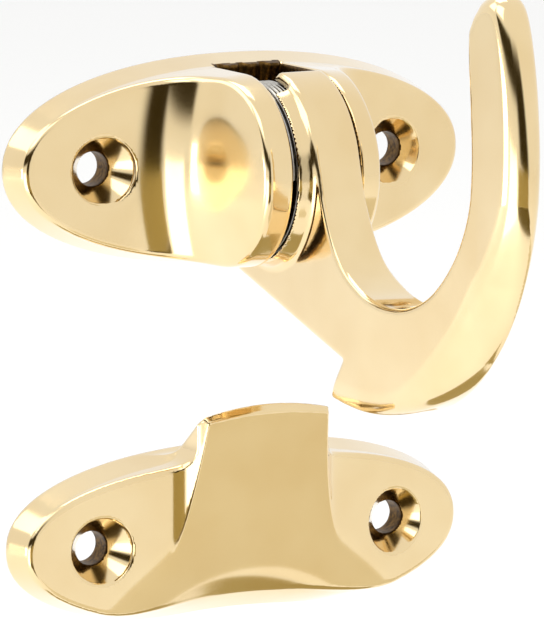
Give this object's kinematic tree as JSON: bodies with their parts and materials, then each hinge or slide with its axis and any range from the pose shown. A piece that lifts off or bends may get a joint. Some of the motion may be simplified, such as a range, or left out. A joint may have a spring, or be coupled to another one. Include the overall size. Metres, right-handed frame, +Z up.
{
  "type": "window hook latch with strike",
  "caption": "Polished brass spring-loaded hook lever latch on an oval screw-down base, with a matching oval strike.",
  "frame": {"origin": "middle of the latch's flat back face", "axes": "+X to the right along the oval bases, +Y into the wall so that the front faces -Y, +Z up"},
  "size_m": [0.0634, 0.0722, 0.0849],
  "materials": {
    "body_brass": "cast and mirror polished",
    "lever_brass": "cast and mirror polished",
    "pin_brass": "turned, satin end",
    "spring_steel": "drawn spring wire",
    "strike_brass": "cast and mirror polished"
  },
  "bodies": {
    "latch": {"latch_body": "body_brass", "pivot_pin": "pin_brass", "return_spring": "spring_steel"},
    "hook": {"lever": "lever_brass"},
    "keeper": {"strike": "strike_brass"}
  },
  "joints": [
    {"name": "lever_swing", "type": "hinge", "parent": "latch", "child": "hook", "pos_m": [0, -0.0132, 0], "axis": [-1, 0, 0], "range_deg": [0, 50], "stiffness_Nm_per_rad": 0.03, "springref_deg": -34.38},
    {"name": "strike_parting", "type": "slide", "parent": "latch", "child": "keeper", "axis": [0, -1, 0], "range_m": [0, 0.04]}
  ]
}
